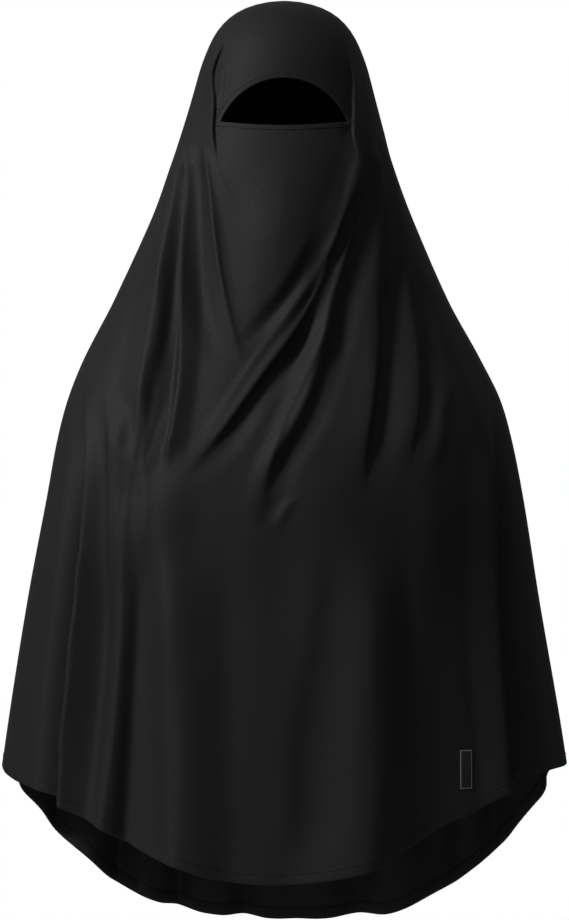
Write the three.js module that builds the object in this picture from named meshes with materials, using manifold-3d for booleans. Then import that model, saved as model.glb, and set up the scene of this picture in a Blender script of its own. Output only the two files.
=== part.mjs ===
// A khimar veil: a long closed cape of thin black cloth whose front panel covers the face,
// with a half-moon opening for the eyes. It is modelled as it hangs from a wearer's head.
// Millimetres, +Z up. The wearer faces -Y. The origin is where the crown of the head meets the cloth.
import * as THREE from "three";
import { mergeVertices } from "three/addons/utils/BufferGeometryUtils.js";
import Module from "manifold-3d";

// Lengths, each measured straight down from the crown
const FRONT_LENGTH = 917;
const BACK_LENGTH = 1010;
const SIDE_LENGTH = 812;

// Half the width across the side hems, and how far the hems reach forward and back
const HALF_SPREAD = 302;
const FRONT_REACH = 190;
const BACK_REACH = 205;

// Cloth, its turned and stitched edges, and the space between neighbouring pieces
const CLOTH = 1.4;
const HEM_THICKNESS = 2.4;
const HEM_HEIGHT = 12;
const CLEARANCE = 0.3;
const HEM_GAP = 0.5; // between a panel and the hem below it, measured straight down

// Folds: the tallest crest, and the usual width from a crest to its foot
const FOLD_DEPTH = 20;
const FOLD_WIDTH = 40;

// Eye opening: a half-moon with a nearly straight lower edge
const EYE_WIDTH = 132;
const EYE_RISE = 44;
const EYE_SAG = 6;
const EYE_CORNER_DROP = 136;
const EYE_HEM = 7;

// Blank woven label, sewn upright on the front panel
const LABEL_WIDTH = 13;
const LABEL_HEIGHT = 38;
const LABEL_THICKNESS = 0.8;
const LABEL_DROP = 805;
const LABEL_AZIMUTH = 36.5;

// Directions are azimuths in degrees: 0 is the front, 90 the viewer's right, 180 the back.
const LEFT_SEAM = -90;
const RIGHT_SEAM = 90;
const FULL_TURN = 360;

// Level sections of the hanging cloth, from the crown down. drop is a share of FRONT_LENGTH,
// left and right of HALF_SPREAD, front of FRONT_REACH and back of BACK_REACH.
// square is how far the section swells between its axes.
const SECTIONS = [
  { drop: 0.0, left: 0.0, right: 0.0, front: 0.0, back: 0.0, square: 0.0 },
  { drop: 0.011, left: 0.152, right: 0.152, front: 0.232, back: 0.234, square: 0.0 },
  { drop: 0.032, left: 0.228, right: 0.228, front: 0.358, back: 0.361, square: 0.0 },
  { drop: 0.067, left: 0.281, right: 0.281, front: 0.453, back: 0.459, square: 0.01 },
  { drop: 0.113, left: 0.323, right: 0.32, front: 0.495, back: 0.498, square: 0.02 },
  { drop: 0.148, left: 0.355, right: 0.348, front: 0.532, back: 0.507, square: 0.02 },
  { drop: 0.189, left: 0.396, right: 0.381, front: 0.589, back: 0.507, square: 0.02 },
  { drop: 0.253, left: 0.466, right: 0.452, front: 0.632, back: 0.507, square: 0.02 },
  { drop: 0.347, left: 0.597, right: 0.576, front: 0.679, back: 0.522, square: 0.03 },
  { drop: 0.417, left: 0.706, right: 0.692, front: 0.737, back: 0.556, square: 0.04 },
  { drop: 0.463, left: 0.761, right: 0.761, front: 0.8, back: 0.595, square: 0.05 },
  { drop: 0.51, left: 0.798, right: 0.802, front: 0.858, back: 0.634, square: 0.06 },
  { drop: 0.58, left: 0.837, right: 0.844, front: 0.9, back: 0.693, square: 0.06 },
  { drop: 0.697, left: 0.904, right: 0.9, front: 0.916, back: 0.771, square: 0.05 },
  { drop: 0.89, left: 0.994, right: 0.998, front: 0.963, back: 0.888, square: 0.04 },
  { drop: 1.105, left: 1.074, right: 1.074, front: 1.026, back: 1.01, square: 0.03 },
];

// The bottom edge, round from the left seam. fall is 0 at the height of the side hem
// and 1 at the lowest point of the panel that the azimuth is on.
const HEM_LINE = [
  { azimuth: -90, fall: 0.0 },
  { azimuth: -62, fall: 0.13 },
  { azimuth: -48, fall: 0.25 },
  { azimuth: -37, fall: 0.48 },
  { azimuth: -24, fall: 0.78 },
  { azimuth: -14, fall: 0.94 },
  { azimuth: 0, fall: 1.0 },
  { azimuth: 16, fall: 0.86 },
  { azimuth: 30, fall: 0.5 },
  { azimuth: 45, fall: 0.2 },
  { azimuth: 52, fall: 0.06 },
  { azimuth: 66, fall: 0.0 },
  { azimuth: 90, fall: 0.0 },
  { azimuth: 106, fall: 0.06 },
  { azimuth: 120, fall: 0.27 },
  { azimuth: 132, fall: 0.54 },
  { azimuth: 146, fall: 0.8 },
  { azimuth: 157, fall: 0.95 },
  { azimuth: 166, fall: 0.99 },
  { azimuth: 180, fall: 1.0 },
  { azimuth: 196, fall: 0.97 },
  { azimuth: 212, fall: 0.82 },
  { azimuth: 228, fall: 0.52 },
  { azimuth: 240, fall: 0.27 },
  { azimuth: 255, fall: 0.06 },
  { azimuth: 270, fall: 0.0 },
];

// Folds, a row for each crest. It runs from drop "from" to drop "to", both shares of FRONT_LENGTH,
// and path holds its azimuth at evenly spaced drops between them. depth is a share of FOLD_DEPTH.
// left and right are shares of FOLD_WIDTH, seen from outside on the front. hollow is the depth
// beside the narrower flank. lean tips the crest sideways, as a share of FOLD_WIDTH.
// start and end are the shares of its length over which it rises and dies away.
const FOLDS = [
  // tucks beside the eye opening
  { from: 0.048, to: 0.19, path: [-52, -50, -43.5, -34], depth: 0.3, left: 0.5, right: 0.14, hollow: 0.22, lean: 0.05, start: 0.25, end: 0.3 },
  { from: 0.052, to: 0.19, path: [53, 51, 45, 36.5], depth: 0.3, left: 0.14, right: 0.5, hollow: 0.2, lean: -0.05, start: 0.3, end: 0.3 },
  // folds that fall from the wearer's right temple to the chest
  { from: 0.15, to: 0.6, path: [-72, -53, -40.3, -35], depth: 0.4, left: 0.9, right: 0.6, hollow: 0.1, lean: 0.0, start: 0.4, end: 0.3 },
  { from: 0.14, to: 0.56, path: [-63, -42.3, -30.6, -27.6], depth: 0.42, left: 0.25, right: 0.7, hollow: 0.35, lean: -0.05, start: 0.3, end: 0.25 },
  { from: 0.155, to: 0.43, path: [-47, -32.5, -22.6, -11], depth: 0.25, left: 0.3, right: 0.9, hollow: 0.2, lean: 0.0, start: 0.3, end: 0.4 },
  // two swags that cross the chest from the wearer's left temple
  { from: 0.17, to: 0.57, path: [39, 15.6, -10, -23], depth: 0.6, left: 1.1, right: 0.6, hollow: 0.5, lean: 0.04, start: 0.3, end: 0.35 },
  { from: 0.18, to: 0.625, path: [41, 21.5, 3, -4], depth: 0.7, left: 0.55, right: 0.7, hollow: 0.0, lean: -0.04, start: 0.35, end: 0.25 },
  { from: 0.46, to: 0.63, path: [6, 2.5, 0.5, 0], depth: -0.35, left: 0.35, right: 0.45, hollow: 0.0, lean: 0.0, start: 0.5, end: 0.4 },
  // folds that fall from the wearer's left temple to the chest
  { from: 0.15, to: 0.57, path: [65.7, 40, 25.3, 18], depth: 0.5, left: 0.8, right: 0.22, hollow: 0.35, lean: 0.04, start: 0.35, end: 0.3 },
  { from: 0.27, to: 0.56, path: [55, 43.5, 35, 28], depth: 0.3, left: 0.6, right: 0.5, hollow: 0.15, lean: 0.0, start: 0.4, end: 0.4 },
  { from: 0.37, to: 0.56, path: [47, 43, 39, 33], depth: 0.3, left: 0.5, right: 0.5, hollow: 0.15, lean: 0.0, start: 0.4, end: 0.5 },
  // flutes of the front panel, down to the hem
  { from: 0.42, to: 1.12, path: [-68, -51.7, -49.2, -47.5], depth: 0.85, left: 0.26, right: 1.3, hollow: 0.75, lean: -0.14, start: 0.35, end: 0.0 },
  { from: 0.5, to: 1.12, path: [-44, -35, -35.7, -36.4], depth: 1.0, left: 0.3, right: 1.2, hollow: 0.55, lean: -0.14, start: 0.4, end: 0.0 },
  { from: 0.58, to: 1.12, path: [-27.4, -24.4, -23, -21], depth: 0.5, left: 0.75, right: 1.3, hollow: 0.35, lean: -0.05, start: 0.3, end: 0.0 },
  { from: 0.6, to: 1.12, path: [3.8, 0, -3, -5], depth: 0.25, left: 1.2, right: 1.0, hollow: 0.0, lean: 0.0, start: 0.5, end: 0.0 },
  { from: 0.58, to: 1.12, path: [17.4, 15.5, 12.5, 10.5], depth: 0.5, left: 1.3, right: 1.1, hollow: 0.2, lean: 0.0, start: 0.4, end: 0.0 },
  { from: 0.42, to: 1.12, path: [56, 49.8, 46.6, 45], depth: 0.9, left: 1.5, right: 0.28, hollow: 0.8, lean: 0.14, start: 0.35, end: 0.0 },
  { from: 0.5, to: 1.12, path: [66, 66, 66, 66], depth: 0.4, left: 0.5, right: 1.3, hollow: 0.0, lean: 0.0, start: 0.5, end: 0.0 },
  // the back: drape below the nape, then flutes down to the hem
  { from: 0.16, to: 0.7, path: [150, 158, 162, 164], depth: 0.35, left: 0.9, right: 0.9, hollow: 0.15, lean: 0.0, start: 0.4, end: 0.4 },
  { from: 0.16, to: 0.7, path: [212, 203, 198, 196], depth: 0.35, left: 0.9, right: 0.9, hollow: 0.15, lean: 0.0, start: 0.4, end: 0.4 },
  { from: 0.5, to: 1.12, path: [116, 118, 119, 119], depth: 0.45, left: 0.8, right: 0.9, hollow: 0.3, lean: 0.0, start: 0.5, end: 0.0 },
  { from: 0.48, to: 1.12, path: [130, 132, 133, 134], depth: 0.6, left: 0.8, right: 0.6, hollow: 0.45, lean: 0.1, start: 0.5, end: 0.0 },
  { from: 0.52, to: 1.12, path: [146, 148, 149, 149], depth: 0.6, left: 0.9, right: 0.8, hollow: 0.35, lean: 0.0, start: 0.5, end: 0.0 },
  { from: 0.5, to: 1.12, path: [166, 167, 166, 165], depth: 0.7, left: 0.9, right: 0.8, hollow: 0.35, lean: 0.0, start: 0.5, end: 0.0 },
  { from: 0.52, to: 1.12, path: [181, 182, 182, 182], depth: 0.55, left: 0.8, right: 0.9, hollow: 0.3, lean: 0.0, start: 0.5, end: 0.0 },
  { from: 0.5, to: 1.12, path: [197, 198, 199, 200], depth: 0.75, left: 0.8, right: 0.9, hollow: 0.35, lean: 0.0, start: 0.5, end: 0.0 },
  { from: 0.5, to: 1.12, path: [216, 217, 218, 218], depth: 0.5, left: 0.9, right: 0.8, hollow: 0.3, lean: 0.0, start: 0.5, end: 0.0 },
  { from: 0.48, to: 1.12, path: [232, 232, 231, 230], depth: 0.75, left: 0.6, right: 0.8, hollow: 0.45, lean: -0.1, start: 0.5, end: 0.0 },
  { from: 0.5, to: 1.12, path: [246, 244, 243, 242], depth: 0.45, left: 0.9, right: 0.8, hollow: 0.3, lean: 0.0, start: 0.5, end: 0.0 },
];
const SEAM_CALM = 0.3; // folds die away where the cosine of the azimuth is under this
const HOLLOW_WIDTH = 1.1; // width of a hollow, as a share of the mean width of its fold

// Columns of the cloth grids: a column at each azimuth, and the cells up to it from the one before
const FRONT_COLUMNS = [
  { at: LEFT_SEAM, cells: 0 },
  { at: -52, cells: 8 },
  { at: -49.5, cells: 1 },
  { at: -38.3, cells: 3 },
  { at: -35.7, cells: 1 },
  { at: -23.2, cells: 4 },
  { at: 12.8, cells: 11 },
  { at: LABEL_AZIMUTH, cells: 7 },
  { at: 46.8, cells: 3 },
  { at: 49.2, cells: 1 },
  { at: RIGHT_SEAM, cells: 8 },
];
const BACK_COLUMNS = [
  { at: RIGHT_SEAM, cells: 0 },
  { at: LEFT_SEAM + FULL_TURN, cells: 34 },
];

// Rows of the cloth grids, by their share of the way down to the hem
const CROWN_SHARE = 0.07; // rows crowd towards the crown above this
const FRONT_ROWS = [
  { at: 0, cells: 0 },
  { at: CROWN_SHARE, cells: 5 },
  { at: 0.18, cells: 4 },
  { at: 0.6, cells: 17 },
  { at: 1, cells: 7 },
];
const BACK_ROWS = [
  { at: 0, cells: 0 },
  { at: CROWN_SHARE, cells: 5 },
  { at: 1, cells: 15 },
];
const ONE_ROW = [{ at: 0, cells: 0 }, { at: 1, cells: 1 }];
const EYE_CELLS = { across: 22, down: 5 };
const LABEL_ROWS = 2;
const ARCH_SEGMENTS = 18;
const STEP_AZIMUTH = 0.25; // degrees, for slopes
const STEP_DROP = 0.8; // millimetres, for slopes

const clothMaterial = new THREE.MeshStandardMaterial({ color: 0x17171a, roughness: 0.82, metalness: 0 });
const hemMaterial = new THREE.MeshStandardMaterial({ color: 0x1b1b1e, roughness: 0.8, metalness: 0 });
const labelMaterial = new THREE.MeshStandardMaterial({ color: 0x0e0e10, roughness: 0.55, metalness: 0 });

const wasm = await Module();
wasm.setup();

const clamp = THREE.MathUtils.clamp;
const smooth = (x) => THREE.MathUtils.smoothstep(x, 0, 1);

// A smooth curve through evenly spaced values, between b and c
function spline(a, b, c, d, t) {
  const bend = 2 * a - 5 * b + 4 * c - d + (3 * b - a - 3 * c + d) * t;
  return b + 0.5 * t * (c - a + t * bend);
}

// A smooth curve through a table's rows: the column y at the place x in the rising column along.
// Past the last row it runs on straight.
function tableValue(rows, along, y, x) {
  const last = rows.length - 1;
  const slope = (k) => {
    const before = rows[Math.max(k - 1, 0)];
    const after = rows[Math.min(k + 1, last)];
    return (after[y] - before[y]) / (after[along] - before[along]);
  };
  if (x >= rows[last][along]) return rows[last][y] + slope(last) * (x - rows[last][along]);
  let i = 0;
  while (rows[i + 1][along] <= x) i++;
  const span = rows[i + 1][along] - rows[i][along];
  const t = (x - rows[i][along]) / span;
  return rows[i][y] * (1 + 2 * t) * (1 - t) ** 2 + rows[i + 1][y] * (3 - 2 * t) * t ** 2
    + span * t * (1 - t) * (slope(i) * (1 - t) - slope(i + 1) * t);
}

// A section's place by the square root of its drop, which keeps the curve over the crown round
const LEVELS = SECTIONS.map((section) => ({ ...section, level: Math.sqrt(section.drop) }));

// A point of the cloth without its folds
function plainPoint(azimuth, drop) {
  const angle = THREE.MathUtils.degToRad(azimuth);
  const level = Math.sqrt(Math.max(drop, 0) / FRONT_LENGTH);
  const across = Math.sin(angle);
  const forward = Math.cos(angle);
  const width = tableValue(LEVELS, "level", across < 0 ? "left" : "right", level) * HALF_SPREAD;
  const reach = forward > 0
    ? tableValue(LEVELS, "level", "front", level) * FRONT_REACH
    : tableValue(LEVELS, "level", "back", level) * BACK_REACH;
  const swell = 1 + tableValue(LEVELS, "level", "square", level) * Math.sin(2 * angle) ** 2;
  return new THREE.Vector3(width * across * swell, -reach * forward * swell, -drop);
}

// The unit directions along the azimuth, and out of the cloth, for a way of placing points
function directions(place, azimuth, drop) {
  const along = place(azimuth + STEP_AZIMUTH, drop).sub(place(azimuth - STEP_AZIMUTH, drop));
  const down = place(azimuth, drop + STEP_DROP).sub(place(azimuth, Math.max(drop - STEP_DROP, 0)));
  const out = new THREE.Vector3().crossVectors(down, along).normalize();
  const perDegree = along.length() / (2 * STEP_AZIMUTH);
  return { along: along.normalize(), out, perDegree };
}

const bump = (x) => (Math.abs(x) < 1 ? (1 - x * x) ** 2 : 0);

// How far one fold lifts the cloth and tips it sideways at a point
function foldAt(fold, azimuth, drop, perDegree) {
  const share = (drop / FRONT_LENGTH - fold.from) / (fold.to - fold.from);
  if (share <= 0 || share >= 1) return { lift: 0, tip: 0 };
  const [a, b, c, d] = fold.path;
  const place = share * 3;
  const index = Math.min(Math.floor(place), 2);
  const stations = [2 * a - b, a, b, c, d, 2 * d - c];
  const crest = spline(...stations.slice(index, index + 4), place - index);
  const offset = (azimuth - crest) * perDegree;
  const left = fold.left * FOLD_WIDTH;
  const right = fold.right * FOLD_WIDTH;
  const side = left < right ? -1 : 1;
  const hollowWidth = (HOLLOW_WIDTH * (left + right)) / 2;
  const hollowOffset = side * (Math.min(left, right) + 0.4 * hollowWidth);
  const rise = fold.start > 0 ? smooth(share / fold.start) : 1;
  const fade = fold.end > 0 ? smooth((1 - share) / fold.end) : 1;
  const crown = bump(offset / (offset < 0 ? left : right));
  const dip = bump((offset - hollowOffset) / hollowWidth);
  const strength = rise * fade * FOLD_DEPTH;
  return {
    lift: strength * (fold.depth * crown - fold.hollow * dip),
    tip: rise * fade * fold.lean * FOLD_WIDTH * crown,
  };
}

// A point of the inner face of the cloth, folds and all
function clothPoint(azimuth, drop) {
  const point = plainPoint(azimuth, drop);
  const { along, out, perDegree } = directions(plainPoint, azimuth, drop);
  const calm = smooth(Math.abs(Math.cos(THREE.MathUtils.degToRad(azimuth))) / SEAM_CALM);
  let lift = 0;
  let tip = 0;
  for (const fold of FOLDS) {
    const part = foldAt(fold, azimuth, drop, perDegree);
    lift += part.lift;
    tip += part.tip;
  }
  return point.addScaledVector(out, lift * calm).addScaledVector(along, tip * calm);
}

// The inner face raised by a thickness along the cloth's own normal
function raisedPoint(azimuth, drop, thickness) {
  if (drop < STEP_DROP) return new THREE.Vector3(0, 0, thickness - drop);
  const { out } = directions(clothPoint, azimuth, drop);
  const onSeam = Math.abs(Math.cos(THREE.MathUtils.degToRad(azimuth))) < 1e-9;
  if (onSeam) out.setY(0).normalize();
  return clothPoint(azimuth, drop).addScaledVector(out, thickness);
}

// Straight-down length of the cloth at an azimuth
function hemDrop(azimuth) {
  const fall = clamp(tableValue(HEM_LINE, "azimuth", "fall", azimuth), 0, 1);
  const lowest = azimuth > RIGHT_SEAM ? BACK_LENGTH : FRONT_LENGTH;
  return SIDE_LENGTH + fall * (lowest - SIDE_LENGTH);
}

// The places of a grid's columns or rows: each stop, and evenly spaced ones up to it
function placesOf(stops) {
  const places = [stops[0].at];
  for (let i = 1; i < stops.length; i++) {
    const from = stops[i - 1].at;
    for (let k = 1; k <= stops[i].cells; k++) places.push(from + ((stops[i].at - from) * k) / stops[i].cells);
  }
  return places;
}

// A closed sheet of cloth over a grid. dropAt gives the drop at a column's azimuth and a row's share
// of the way down, and under and over are the heights of its two faces above the cloth's inner face.
function sheetGeometry(columnStops, rowStops, dropAt, under, over) {
  const azimuths = placesOf(columnStops);
  const shares = placesOf(rowStops);
  const columns = azimuths.length;
  const rows = shares.length - 1;
  const layer = columns * (rows + 1);
  const pointAt = (azimuth, share, height) => raisedPoint(azimuth, dropAt(azimuth, share), height);
  const points = [];
  for (const height of [over, under]) {
    for (const share of shares) {
      for (const azimuth of azimuths) points.push(pointAt(azimuth, share, height));
    }
  }
  const triangles = [];
  const quad = (a, b, c, d) => triangles.push(a, b, c, a, c, d);
  // Each cell is split along the diagonal that lies nearer to the cloth, so that creases stay clean
  const miss = (a, b, middle) => points[a].clone().lerp(points[b], 0.5).distanceTo(middle);
  for (let row = 0; row < rows; row++) {
    for (let column = 0; column + 1 < columns; column++) {
      const a = row * columns + column;
      const b = a + columns;
      const azimuth = (azimuths[column] + azimuths[column + 1]) / 2;
      const middle = pointAt(azimuth, (shares[row] + shares[row + 1]) / 2, over);
      if (miss(a, b + 1, middle) <= miss(b, a + 1, middle)) {
        quad(a, b, b + 1, a + 1);
        quad(layer + a, layer + a + 1, layer + b + 1, layer + b);
      } else {
        quad(b, b + 1, a + 1, a);
        quad(layer + b, layer + a, layer + a + 1, layer + b + 1);
      }
    }
    const first = row * columns;
    const final = first + columns - 1;
    quad(first, layer + first, layer + first + columns, first + columns);
    quad(final, final + columns, layer + final + columns, layer + final);
  }
  for (let column = 0; column + 1 < columns; column++) {
    const foot = rows * columns + column;
    quad(column, column + 1, layer + column + 1, layer + column);
    quad(foot, layer + foot, layer + foot + 1, foot + 1);
  }
  return closed(points.flatMap((point) => point.toArray()), triangles);
}

// Merges the points that meet, such as a grid's top row at the crown, and drops what collapsed
function closed(positions, triangles) {
  const geometry = new THREE.BufferGeometry();
  geometry.setAttribute("position", new THREE.Float32BufferAttribute(positions, 3));
  geometry.setIndex(triangles);
  const merged = mergeVertices(geometry, 1e-3);
  const index = Array.from(merged.index.array);
  const kept = [];
  for (let i = 0; i < index.length; i += 3) {
    const [a, b, c] = index.slice(i, i + 3);
    if (a !== b && b !== c && c !== a) kept.push(a, b, c);
  }
  merged.setIndex(kept);
  return merged;
}

function toSolid(geometry) {
  const bare = new THREE.BufferGeometry();
  bare.setAttribute("position", geometry.getAttribute("position"));
  bare.setIndex(geometry.index);
  const merged = mergeVertices(bare, 1e-3);
  return new wasm.Manifold(new wasm.Mesh({
    numProp: 3,
    vertProperties: merged.attributes.position.array,
    triVerts: new Uint32Array(merged.index.array),
  }));
}

function toGeometry(solid) {
  const mesh = solid.getMesh();
  const geometry = new THREE.BufferGeometry();
  geometry.setAttribute("position", new THREE.BufferAttribute(mesh.vertProperties, 3));
  geometry.setIndex(new THREE.BufferAttribute(mesh.triVerts, 1));
  geometry.computeVertexNormals();
  return geometry;
}

// The half-moon of the eye opening as a prism through the front, its arch grown outwards by arch
// and its lower edge moved down by lower
function eyePrism(arch, lower) {
  const half = EYE_WIDTH / 2;
  const archRadius = (half ** 2 + EYE_RISE ** 2) / (2 * EYE_RISE);
  const sagRadius = (half ** 2 + EYE_SAG ** 2) / (2 * EYE_SAG);
  const archCentre = -EYE_CORNER_DROP + EYE_RISE - archRadius;
  const sagCentre = -EYE_CORNER_DROP - EYE_SAG + sagRadius - lower;
  const radius = archRadius + arch;
  const apart = sagCentre - archCentre;
  const cornerHeight = (apart ** 2 + radius ** 2 - sagRadius ** 2) / (2 * apart);
  const archHalfAngle = Math.acos(cornerHeight / radius);
  const sagHalfAngle = Math.asin((radius * Math.sin(archHalfAngle)) / sagRadius);
  const outline = [];
  for (let i = 0; i <= ARCH_SEGMENTS; i++) {
    const angle = archHalfAngle * (1 - (2 * i) / ARCH_SEGMENTS);
    outline.push(new THREE.Vector2(radius * Math.sin(angle), archCentre + radius * Math.cos(angle)));
  }
  for (let i = 1; i < ARCH_SEGMENTS; i++) {
    const angle = sagHalfAngle * ((2 * i) / ARCH_SEGMENTS - 1);
    outline.push(new THREE.Vector2(sagRadius * Math.sin(angle), sagCentre - sagRadius * Math.cos(angle)));
  }
  const prism = new THREE.ExtrudeGeometry(new THREE.Shape(outline), { depth: FRONT_REACH, bevelEnabled: false });
  return toSolid(prism.rotateX(Math.PI / 2));
}

const crownShare = (share) => (share < CROWN_SHARE ? share ** 2 / CROWN_SHARE : share);
const panelDrop = (azimuth, share) => crownShare(share) * (hemDrop(azimuth) - HEM_HEIGHT - HEM_GAP);
const hemBandDrop = (azimuth, share) => hemDrop(azimuth) - HEM_HEIGHT * (1 - share);
const hemUnder = (CLOTH - HEM_THICKNESS) / 2;
const hemOver = (CLOTH + HEM_THICKNESS) / 2;

function frontPanel() {
  const sheet = sheetGeometry(FRONT_COLUMNS, FRONT_ROWS, panelDrop, 0, CLOTH);
  const hole = eyePrism(EYE_HEM + CLEARANCE, EYE_HEM + CLEARANCE);
  return toGeometry(toSolid(sheet).subtract(hole));
}

function backPanel() {
  return sheetGeometry(BACK_COLUMNS, BACK_ROWS, panelDrop, 0, CLOTH);
}

function hemBand(columns) {
  return sheetGeometry(columns, ONE_ROW, hemBandDrop, hemUnder, hemOver);
}

// A patch of doubled cloth that reaches a little past the eye opening's hem on every side
function eyePatch() {
  const margin = 3 * EYE_HEM;
  const top = EYE_CORNER_DROP - EYE_RISE - margin;
  const bottom = EYE_CORNER_DROP + EYE_SAG + margin;
  const widest = plainPoint(RIGHT_SEAM, EYE_CORNER_DROP).x;
  const reach = THREE.MathUtils.radToDeg(Math.asin(Math.min((EYE_WIDTH / 2 + margin) / widest, 0.98)));
  const columns = [{ at: -reach, cells: 0 }, { at: reach, cells: EYE_CELLS.across }];
  const rows = [{ at: 0, cells: 0 }, { at: 1, cells: EYE_CELLS.down }];
  const dropAt = (azimuth, share) => top + share * (bottom - top);
  return toSolid(sheetGeometry(columns, rows, dropAt, hemUnder, hemOver));
}

function eyeArchHem() {
  return toGeometry(eyePatch().intersect(eyePrism(EYE_HEM, -CLEARANCE)).subtract(eyePrism(0, 0)));
}

function veilTopHem() {
  const above = eyePrism(2 * EYE_HEM, 0);
  return toGeometry(eyePatch().intersect(eyePrism(EYE_HEM, EYE_HEM)).subtract(above));
}

function sideLabel() {
  const { perDegree } = directions(plainPoint, LABEL_AZIMUTH, LABEL_DROP);
  const columns = [
    { at: LABEL_AZIMUTH - LABEL_WIDTH / perDegree, cells: 0 },
    { at: LABEL_AZIMUTH, cells: 1 },
  ];
  const rows = [{ at: 0, cells: 0 }, { at: 1, cells: LABEL_ROWS }];
  const dropAt = (azimuth, share) => LABEL_DROP + (share - 0.5) * LABEL_HEIGHT;
  const under = CLOTH + CLEARANCE;
  return sheetGeometry(columns, rows, dropAt, under, under + LABEL_THICKNESS);
}

// A piece of the front or the back. The two stand a clearance apart along the seam,
// which runs from hem to hem over the crown.
function addPiece(group, name, geometry, material, side) {
  const mesh = new THREE.Mesh(geometry, material);
  mesh.name = name;
  mesh.position.y = (side * CLEARANCE) / 2;
  group.add(mesh);
}

const FRONT = -1;
const BACK = 1;
const khimar = new THREE.Group();
addPiece(khimar, "front_panel", frontPanel(), clothMaterial, FRONT);
addPiece(khimar, "back_panel", backPanel(), clothMaterial, BACK);
addPiece(khimar, "eye_arch_hem", eyeArchHem(), hemMaterial, FRONT);
addPiece(khimar, "veil_top_hem", veilTopHem(), hemMaterial, FRONT);
addPiece(khimar, "front_hem", hemBand(FRONT_COLUMNS), hemMaterial, FRONT);
addPiece(khimar, "back_hem", hemBand(BACK_COLUMNS), hemMaterial, BACK);
addPiece(khimar, "side_label", sideLabel(), labelMaterial, FRONT);

export default khimar;
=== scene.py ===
from collections import namedtuple

import bmesh
import bpy
import numpy as np
from bpy.props import FloatProperty, FloatVectorProperty, PointerProperty
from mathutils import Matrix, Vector


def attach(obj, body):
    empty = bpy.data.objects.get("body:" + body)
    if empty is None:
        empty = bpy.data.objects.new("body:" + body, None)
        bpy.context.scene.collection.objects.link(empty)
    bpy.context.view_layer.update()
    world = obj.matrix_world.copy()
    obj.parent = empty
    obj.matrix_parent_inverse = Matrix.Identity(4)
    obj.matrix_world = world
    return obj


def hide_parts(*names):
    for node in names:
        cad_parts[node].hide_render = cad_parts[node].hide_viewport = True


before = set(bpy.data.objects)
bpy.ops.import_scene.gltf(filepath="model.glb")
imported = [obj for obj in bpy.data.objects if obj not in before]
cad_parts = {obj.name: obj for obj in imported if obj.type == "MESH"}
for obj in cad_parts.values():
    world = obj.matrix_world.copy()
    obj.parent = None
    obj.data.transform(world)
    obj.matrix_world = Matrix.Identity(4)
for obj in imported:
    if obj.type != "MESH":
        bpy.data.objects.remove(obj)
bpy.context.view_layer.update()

bl_info = {
    "name": "Khimar veil",
    "version": (1, 0, 0),
    "blender": (4, 5, 0),
    "location": "3D View > Sidebar > Khimar",
    "description": "A long hooded cape veil with a joined face veil, its hems, seams, stitches and label",
    "category": "Add Mesh",
}

MM = 0.001

# Level sections of the hanging cloth, from the crown down. drop is a share of the front length, left
# and right of the half spread, front and back of the reach to that side. square is how far a section
# swells between its axes.
Section = namedtuple("Section", "drop left right front back square")
SECTIONS = [
    Section(0.0, 0.0, 0.0, 0.0, 0.0, 0.0),
    Section(0.011, 0.152, 0.152, 0.232, 0.234, 0.0),
    Section(0.032, 0.228, 0.228, 0.358, 0.361, 0.0),
    Section(0.067, 0.281, 0.281, 0.453, 0.459, 0.01),
    Section(0.113, 0.323, 0.32, 0.495, 0.498, 0.02),
    Section(0.148, 0.355, 0.348, 0.532, 0.507, 0.02),
    Section(0.189, 0.396, 0.381, 0.589, 0.507, 0.02),
    Section(0.253, 0.466, 0.452, 0.632, 0.507, 0.02),
    Section(0.347, 0.597, 0.576, 0.679, 0.522, 0.03),
    Section(0.417, 0.706, 0.692, 0.737, 0.556, 0.04),
    Section(0.463, 0.761, 0.761, 0.8, 0.595, 0.05),
    Section(0.51, 0.798, 0.802, 0.858, 0.634, 0.06),
    Section(0.58, 0.837, 0.844, 0.9, 0.693, 0.06),
    Section(0.697, 0.904, 0.9, 0.916, 0.771, 0.05),
    Section(0.89, 0.994, 0.998, 0.963, 0.888, 0.04),
    Section(1.105, 1.074, 1.074, 1.026, 1.01, 0.03),
]

# The bottom edge by azimuth, round from the left seam. fall is 0 at the height of the side hem and 1
# at the lowest point of the panel that the azimuth is on.
HEM_LINE = [
    (-90, 0.0), (-62, 0.13), (-48, 0.25), (-37, 0.48), (-24, 0.78), (-14, 0.94), (0, 1.0), (16, 0.86),
    (30, 0.5), (45, 0.2), (52, 0.06), (66, 0.0), (90, 0.0), (106, 0.06), (120, 0.27), (132, 0.54),
    (146, 0.8), (157, 0.95), (166, 0.99), (180, 1.0), (196, 0.97), (212, 0.82), (228, 0.52),
    (240, 0.27), (255, 0.06), (270, 0.0),
]

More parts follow.
